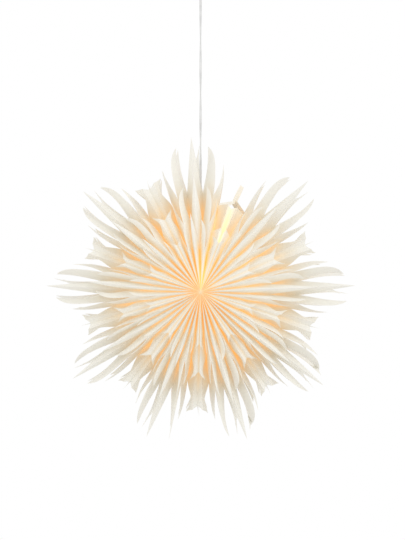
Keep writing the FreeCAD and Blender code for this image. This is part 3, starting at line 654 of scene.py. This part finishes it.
def needle(edge, rim, index):
    """The sliver of paper left in the middle of a fork: its half-width falls from the rim to
    its tip as 1 - u, and it leans aside as u^2."""
    up = np.linspace(0, 1, ROWS)[:, None]
    part = np.linspace(-1, 1, COLUMNS)[None, :]
    radius = rim - NEEDLE_ROOT + (NEEDLE_TIP - rim + NEEDLE_ROOT) * up + 0 * part
    lean = NEEDLE_LEAN * math.sin(NEEDLE_STEP * index)
    angle = np.radians(edge + GLUE_ANGLE + NEEDLE_HALF * (1 - up) * part + lean * up ** 2)
    return lit_sheet(REAR, radius, angle, NEEDLE_DEPTH + 0 * radius, NEEDLE_VALLEY + 0 * radius)


def uneven_shares(tier, index, high):
    """The folds' shares of a half bag. Those between its middle fold and its glued edge are
    set off by uneven.sin(the bag's, the side's and the fold's steps)."""
    by_bag, by_side, by_fold = UNEVEN_STEPS
    shares = list(FOLD_SHARES)
    for number in range(1, len(shares) - 1):
        step = by_bag * index + by_side * high + by_fold * number
        shares[number] += tier.uneven * math.sin(step)
    return shares


def blade_leans(index, high):
    """Where the flank's, side's and hook's tips of a half bag stand, as shares of their own
    panels."""
    leans = []
    for number, tips in enumerate((FLANK_TIPS, SIDE_TIPS, HOOK_TIPS)):
        low, top = FOLD_SHARES[number + 1], FOLD_SHARES[number + 2]
        leans.append((tips[index][high] - low) / (top - low))
    return leans


def blade_panels(tier, folds, leans, by_turns, curl):
    """The three panels next to the middle fold, with half of the spike, the flank's blade and
    the side's blade."""
    spike, flank, side = tier.tips[:3]
    by_spike, by_flank, by_side = tier.notches[:3]
    return [
        panel_grid(tier, folds[0], folds[1], (by_spike, spike, keep(0)),
                   (by_spike, spike, blade_spike), 0.0, curl),
        panel_grid(tier, folds[1], folds[2],
                   (by_spike, flank, blade_hollow(leans[0], FLANK_HOLLOWS[by_turns])),
                   (by_flank, flank, blade_round(leans[0], FLANK_FULLNESS)), BLADE_BEND),
        panel_grid(tier, folds[2], folds[3],
                   (by_flank, side, blade_hollow(leans[1], SIDE_HOLLOWS[by_turns])),
                   (by_side, side, blade_round(leans[1], SIDE_FULLNESS)), BLADE_BEND),
    ]


def hook_panels(tier, folds, lean):
    """The two panels at the glued edge, cut to a hook; two such hooks make a fishtail."""
    by_side, by_hook = tier.notches[2:]
    hook = tier.tips[3]
    fold_end = by_hook + HOOK_FOLD_SHARE * (hook - by_hook)
    return [
        panel_grid(tier, folds[3], folds[4], (by_side, hook, hook_waist(lean)),
                   (by_side, fold_end, keep(1)), HOOK_BEND, 0.0, HOOK_SCOOP),
        panel_grid(tier, folds[4], folds[5], (by_side, fold_end, keep(0)),
                   (by_side, by_hook, keep(1)), 0.0, 0.0, HOOK_SCOOP),
    ]


def seam_panels(tier, folds):
    """The two panels that a bag has beside the seam instead: one with a shorter hook, and a
    deep one in a valley, both with the bulb's light painted on them."""
    by_side = tier.notches[2]
    cut = SEAM_HOOK_CUT * tier.tips[3]
    seam = Fold(math.degrees(folds[5].angle), VALLEY_SLOPE, SEAM_DEEP_HEIGHT)
    end = panel_grid(tier, folds[3], folds[4], (by_side, by_side, keep(0)),
                     (by_side, cut, keep(1)))
    deep = panel_grid(tier, folds[4], seam, (by_side, cut, keep(0)),
                      (by_side, by_side, keep(1)))
    # the extra painted glow fades from the hub out to the rim
    inward = np.repeat(np.linspace(1, SEAM_LIGHT_AT_RIM, ROWS), COLUMNS)
    panels = []
    for panel, (warmth, extra) in ((end, SEAM_END_LIGHT), (deep, SEAM_DEEP_LIGHT)):
        points, painted_glow_and_shade, lit = panel
        panels.append((points, warmth * painted_glow_and_shade, lit + extra * inward))
    return panels


def half_bag(tier, index, edge, high, at_seam, back):
    """The panels of a bag from its middle fold to its edge angle."""
    turn = tier.turns[index] + (BACK_TURN if back else 0)
    middle = BAG_MIDDLES[index] + turn
    angles = [middle + share * (edge - middle) for share in uneven_shares(tier, index, high)]
    folds = [Fold(*facts) for facts in zip(angles, FOLD_SLOPES, FOLD_HEIGHTS)]
    leans = blade_leans(index, high)
    curl = BACK_CURL if back and tier is REAR else 0.0
    panels = blade_panels(tier, folds, leans, (index + high + back) % 2, curl)
    if at_seam:
        return panels + seam_panels(tier, folds)
    panels += hook_panels(tier, folds, leans[2])
    if tier is REAR:
        panels.append(side_wall(folds[5], REAR.notches[3]))
        if high:
            panels.append(needle(edge, REAR.notches[3], index))
    return panels


def bag_edges(index):
    """The angles at which a bag meets its two neighbours."""
    last = len(BAG_MIDDLES) - 1
    middle = BAG_MIDDLES[index]
    before = BAG_MIDDLES[index - 1] if index > 0 else BAG_MIDDLES[last] - 360
    after = BAG_MIDDLES[index + 1] if index < last else BAG_MIDDLES[0] + 360
    return (before + middle) / 2 + GLUE_ANGLE, (middle + after) / 2 - GLUE_ANGLE


def make_bag(index, side):
    """One half of a bag: three tiers of pleats, welded along their folds."""
    edges = bag_edges(index)
    back = side == "back"
    grids, faces = [], []
    count = 0
    for tier in TIERS:
        for high in (0, 1):
            seam = index == SEAM_AFTER + 1 - high and tier is not FRONT
            for grid in half_bag(tier, index, edges[high], high, seam, back):
                quads = grid_faces(ROWS, COLUMNS) + count
                faces.append(quads if high else quads[:, ::-1])
                grids.append(grid)
                count += len(grid[0])
    points, painted_glow_and_shade, lit = [np.concatenate(parts) for parts in zip(*grids)]
    faces = np.concatenate(faces)
    if back:
        points = points * np.array([1, -1, 1])
        faces = faces[:, ::-1]
    piece = new_mesh("bag_%d_%s_paper" % (index + 1, side), points, faces, "star", STAR_PAPER)
    # the painted tint and painted glow of the bulb's light, kept on the paper's points
    store(piece, "painted_glow_and_shade", painted_glow_and_shade)
    store(piece, "lit", lit)
    weld(piece)
    thicken(piece)
    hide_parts("bag_%d_%s" % (index + 1, side))


# ---------------------------------------------------------------- the closing tab
def ribbon(start, end, halves, twists):
    """A strip of paper between two points of the middle plane: its middle line runs straight,
    and its width, 2.h, turns out of the depth by the twist angle as it goes along."""
    along = np.linspace(0, 1, TAB_ROWS)[:, None]
    across = np.linspace(-1, 1, COLUMNS)[None, :]
    half = halves[0] + (halves[1] - halves[0]) * along
    twist = np.radians(twists[0] + (twists[1] - twists[0]) * along)
    way = np.array(end) - np.array(start)
    beside = np.array([way[1], -way[0]]) / np.hypot(*way)
    x = start[0] + way[0] * along + beside[0] * half * across * np.sin(twist)
    z = start[1] + way[1] * along + beside[1] * half * across * np.sin(twist)
    return in_star(x, half * across * np.cos(twist), z)


def make_tab():
    """The folded tab that closes the fan: an upright fold and two fins, an upturned Y."""
    fork = (TAB_FORK_R * math.cos(TAB_ANGLE), TAB_FORK_R * math.sin(TAB_ANGLE))
    points = np.concatenate([ribbon(fork, *fin) for fin in TAB_FINS])
    faces = np.concatenate([grid_faces(TAB_ROWS, COLUMNS) + number * TAB_ROWS * COLUMNS
                            for number in range(len(TAB_FINS))])
    piece = new_mesh("closing_tab_paper", points, faces, "star", STAR_PAPER)
    store(piece, "painted_glow_and_shade", np.full(len(points), TAB_WARM))
    store(piece, "lit", np.full(len(points), TAB_LIT))
    weld(piece)
    thicken(piece)
    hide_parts("closing_tab")


# ---------------------------------------------------------------- the cord
def route_line(route):
    """Points read from a smooth spline through the route's control points."""
    curve = bpy.data.curves.new("cord_route", "CURVE")
    curve.dimensions = "3D"
    curve.resolution_u = CORD_STEPS
    spline = curve.splines.new("NURBS")
    spline.points.add(len(route) - 1)
    spline.points.foreach_set("co", np.array([point + (1,) for point in route]).ravel())
    spline.order_u = 3
    spline.use_endpoint_u = True
    holder = bpy.data.objects.new("cord_route", curve)
    mesh = bpy.data.meshes.new_from_object(holder)
    line = np.empty(3 * len(mesh.vertices))
    mesh.vertices.foreach_get("co", line)
    bpy.data.objects.remove(holder)
    bpy.data.meshes.remove(mesh)
    return line.reshape(-1, 3)


def make_cord():
    """The twin flex: a two-lobed section carried up the taut route and slowly turned.

    The section at angle a has half-width w.cos a and half-thickness t.sin a, pinched between
    its two cores by the factor 1 - p.sin^8 a, and turns in proportion to the length along it.
    """
    line = route_line(CORD_ROUTE)
    around = around_axis(CORD_SIDES)
    wide = CORD_WIDTH / 2 * np.cos(around)
    thick = CORD_THICK / 2 * np.sin(around) * (1 - CORD_PINCH * np.sin(around) ** 8)
    turn = 2 * math.pi * CORD_TURNS * np.linspace(0, 1, len(line))[:, None]
    x = line[:, 0:1] + wide * np.cos(turn) - thick * np.sin(turn)
    y = line[:, 1:2] + wide * np.sin(turn) + thick * np.cos(turn)
    z = line[:, 2:3] + 0 * turn * around
    points = np.stack([x, y, z], axis=2).reshape(-1, 3)
    rings = np.arange(len(line))
    faces = band_faces(rings[:-1], rings[1:], CORD_SIDES)
    piece = new_mesh("cord", points, faces, "star", MATERIALS["cord_sheath"])
    close_ends(piece)
    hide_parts("cord_drop")


# ---------------------------------------------------------------- turned pieces
def arc(radius, height, size, start, end, steps, tall=None):
    """Part of an outline: an arc about (radius, height), from start to end degrees, where 0
    points away from the axis and 90 points up. Its half-height is tall, if that is given."""
    turns = np.radians(np.linspace(start, end, steps))
    return [(radius + size * math.cos(turn), height + (tall or size) * math.sin(turn))
            for turn in turns]


def column(radius, low, high, steps):
    """A straight side of an outline, from one height to the other in even steps."""
    return [(radius, height) for height in np.linspace(low, high, steps)]


def from_centre(outline):
    """An outline whose heights were measured from the star's centre."""
    return [(radius, height + CENTRE_Z / MM) for radius, height in outline]


def turned(name, node, body, slot, outline, relief=None):
    """A smooth body turned about the lamp's axis: its closed outline of (radius, height)
    points, in mm, is carried round. A relief takes depth off: relief(radius, height, angle)."""
    outline = np.array(outline) * MM
    around = around_axis(TURN_SIDES)[None, :]
    radius = outline[:, 0][:, None] + 0 * around
    height = outline[:, 1][:, None] + 0 * around
    if relief:
        radius = radius - relief(radius / MM, height / MM, around) * MM
    points = np.stack([radius * np.cos(around), radius * np.sin(around), height], axis=2)
    first = np.arange(len(outline))
    after = (first + 1) % len(outline)
    off_axis = outline[first, 0] + outline[after, 0] > 0
    faces = band_faces(first[off_axis], after[off_axis], TURN_SIDES)
    piece = new_mesh(name, points.reshape(-1, 3), faces, body, MATERIALS[slot])
    weld(piece)
    close_ends(piece)
    piece.data.shade_smooth()
    piece.data.set_sharp_from_angle(angle=SHARP_ANGLE)
    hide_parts(node)


def thread(low, high, pitch, depth):
    """A screw thread's relief between two heights: depth.(1 - cos(turns.2.pi - angle)) / 2."""
    def relief(radius, height, angle):
        here = (height > low) & (height < high)
        return here * depth * (1 - np.cos(2 * np.pi * height / pitch - angle)) / 2
    return relief


def ribs(outer, count, depth):
    """Grip ribs on the outer face: depth.((1 - cos(count.angle)) / 2)^1.5."""
    def relief(radius, height, angle):
        wave = (1 - np.cos(count * angle)) / 2
        return (radius > outer) * depth * wave ** 1.5
    return relief


def make_ceiling_cup():
    """The cup, with its barrel, rounded shoulder and rolled rim, and the bush in its foot.
    Their outlines are measured from the ceiling, in mm."""
    rim = CUP_TOP - CUP_RIM
    middle = (CUP_R - CUP_SHOULDER, CUP_SHOULDER - CUP_DEPTH)
    cup = arc(CUP_R - CUP_RIM, rim, CUP_RIM, 90, 0, 6) + arc(*middle, CUP_SHOULDER, 0, -90, 24)
    cup += [(CUP_HOLE, -CUP_DEPTH), (CUP_HOLE, CUP_WALL - CUP_DEPTH)]
    cup += arc(*middle, CUP_SHOULDER - CUP_WALL, -90, 0, 24) + [(CUP_R - CUP_WALL, rim)]
    turned("ceiling_cup_round", "ceiling_cup", "cup", "cup_plastic", cup)
    bush = [(2.6, -66)] + arc(4.6, -65.4, 0.6, -90, -30, 4) + arc(8.4, -63.4, 0.6, -30, 0, 4)
    bush += [(9, -61.1), (6, -61.1), (6, -52.6), (5.4, -52), (2.6, -52)]
    turned("cup_bush_round", "cup_bush", "cup", "cup_plastic", bush)


def make_lampholder():
    """The cord nipple, the domed cap, the threaded body and the ribbed ring, seated in one
    another as the construction has them. Their outlines are measured from the star's centre."""
    nipple = [(2.6, 108), (4.2, 108), (4.2, 112), (5.2, 112)] + arc(2.8, 119.6, 2.4, 0, 90, 8)
    nipple += [(2.6, 122)]
    cap = [(5.3, 112)] + arc(6.2, 101, 9.4, 90, 0, 16, 11)
    cap += [(15.6, 86.3), (15.3, 86), (14.2, 86), (14.2, 99)]
    cap += arc(6.2, 101, 8.0, 0, 90, 16, 9.6) + [(5.3, 110.6)]
    shell = [(12.4, 44), (13.2, 44)] + column(13.8, 44.8, 68.2, 60)
    shell += [(13.8, 70), (17.2, 70), (17.5, 70.3), (17.5, 71.7), (17.2, 72), (14, 72)]
    shell += [(14, 85.9), (14.1, 86), (14.1, 94), (12.4, 94)]
    ring = [(14, 59.4), (20.2, 59.4)] + column(21, 60.2, 67.5, 3) + [(20.2, 68.3), (14, 68.3)]
    for node, body, outline, relief in (
            ("holder_nipple", "star", nipple, None),
            ("holder_cap", "star", cap, None),
            ("holder_body", "star", shell, thread(*HOLDER_THREAD)),
            ("retaining_ring", "ring", ring, ribs(*RING_RIBS))):
        turned(node + "_round", node, body, "holder_plastic", from_centre(outline), relief)


def make_bulb():
    """The frosted globe with its neck, and the threaded screw cap over the neck's stub."""
    waist = math.degrees(math.acos(GLOBE_NECK / GLOBE_R))
    foot = GLOBE_Z - GLOBE_R
    glass = [(0, foot)] + arc(0, GLOBE_Z, GLOBE_R, -90, waist, 40)[1:]
    glass += [(8.9, 37.6), (8.5, 40), (8.4, 43), (8.2, 45.4), (6.45, 46.5), (6.45, 56.5)]
    glass += [(5.65, 56.5), (5.65, 46.1), (7.4, 45), (7.6, 43), (7.7, 40), (8.1, 37)]
    glass += arc(0, GLOBE_Z, GLOBE_R - GLOBE_WALL, waist, -90, 40)[:-1]
    glass += [(0, foot + GLOBE_WALL)]
    turned("bulb_globe", "bulb_glass", "bulb", "bulb_glass", from_centre(glass))
    cap = [(0, 66.5), (5.9, 66.5), (6.8, 64.5)] + column(6.85, 64, 50, 60)
    cap += [(6.85, 46.6), (6.5, 46.6), (6.5, 64), (0, 64)]
    turned("bulb_cap_threaded", "bulb_screw_cap", "bulb", "cap_metal", from_centre(cap),
           thread(*CAP_THREAD))


# ---------------------------------------------------------------- stage, light and camera
def make_floor():
    """A pale floor below the lamp."""
    low = CENTRE_Z - FLOOR_DROP
    corners = [(-FLOOR_HALF, -FLOOR_HALF, low), (FLOOR_HALF, -FLOOR_HALF, low),
               (FLOOR_HALF, FLOOR_HALF, low), (-FLOOR_HALF, FLOOR_HALF, low)]
    mesh = bpy.data.meshes.new("floor")
    mesh.from_pydata(corners, [], [(0, 1, 2, 3)])
    floor = bpy.data.objects.new("floor", mesh)
    bpy.context.collection.objects.link(floor)
    material, _, shader = new_material("floor_white")
    shader.inputs["Base Color"].default_value = rgba(FLOOR_TONE, FLOOR_TONE, FLOOR_TONE)
    shader.inputs["Roughness"].default_value = 0.9
    mesh.materials.append(material)


def make_sky():
    """A plain sky: it looks white, and lights the lamp a little less than that."""
    world = bpy.data.worlds.new("plain_sky")
    world.use_nodes = True
    bpy.context.scene.world = world
    start = Shade(world.node_tree)
    ray = "ShaderNodeLightPath"
    seen = (start.node(ray, out=CAMERA_RAY) + start.node(ray, out=GLOSSY_RAY)
            + start.node(ray, out=TRANSMISSION_RAY))
    strength = seen.math("MINIMUM", 1.0) * (1.0 - SKY) + SKY
    background = world.node_tree.nodes["Background"]
    background.inputs["Color"].default_value = rgba(1, 1, 1)
    world.node_tree.links.new(strength.socket, background.inputs["Strength"])


def make_lamps():
    """Two large soft lamps that face the star."""
    for name, where, power in LAMPS:
        lamp = bpy.data.lights.new(name, "AREA")
        lamp.size = LAMP_SIZE
        lamp.energy = power
        holder = bpy.data.objects.new(name, lamp)
        holder.location = where
        aim = Vector((0, 0, CENTRE_Z)) - Vector(where)
        holder.rotation_euler = aim.to_track_quat("-Z", "Y").to_euler()
        bpy.context.collection.objects.link(holder)


def make_camera():
    """A level camera at the star's height, framed as the photograph is."""
    data = bpy.data.cameras.new("camera")
    data.sensor_fit = "HORIZONTAL"
    data.sensor_width = SENSOR_WIDTH
    data.lens = SENSOR_WIDTH * CAMERA_AWAY / (PHOTO_W * METRES_PER_PIXEL)
    data.shift_x = (PHOTO_W / 2 - POLE_X) / PHOTO_W
    data.shift_y = (POLE_Y - PHOTO_H / 2) / PHOTO_W
    camera = bpy.data.objects.new("camera", data)
    camera.location = (0, -CAMERA_AWAY, CENTRE_Z)
    camera.rotation_euler = (math.pi / 2, 0, 0)
    bpy.context.collection.objects.link(camera)
    bpy.context.scene.camera = camera


# ---------------------------------------------------------------- assembly
make_camera()
finish_frame()
make_cord()
for number in range(len(BAG_MIDDLES)):
    make_bag(number, "front")
    make_bag(number, "back")
make_tab()
make_ceiling_cup()
make_lampholder()
make_bulb()
make_floor()
make_sky()
make_lamps()
bpy.context.scene.view_settings.view_transform = "Standard"
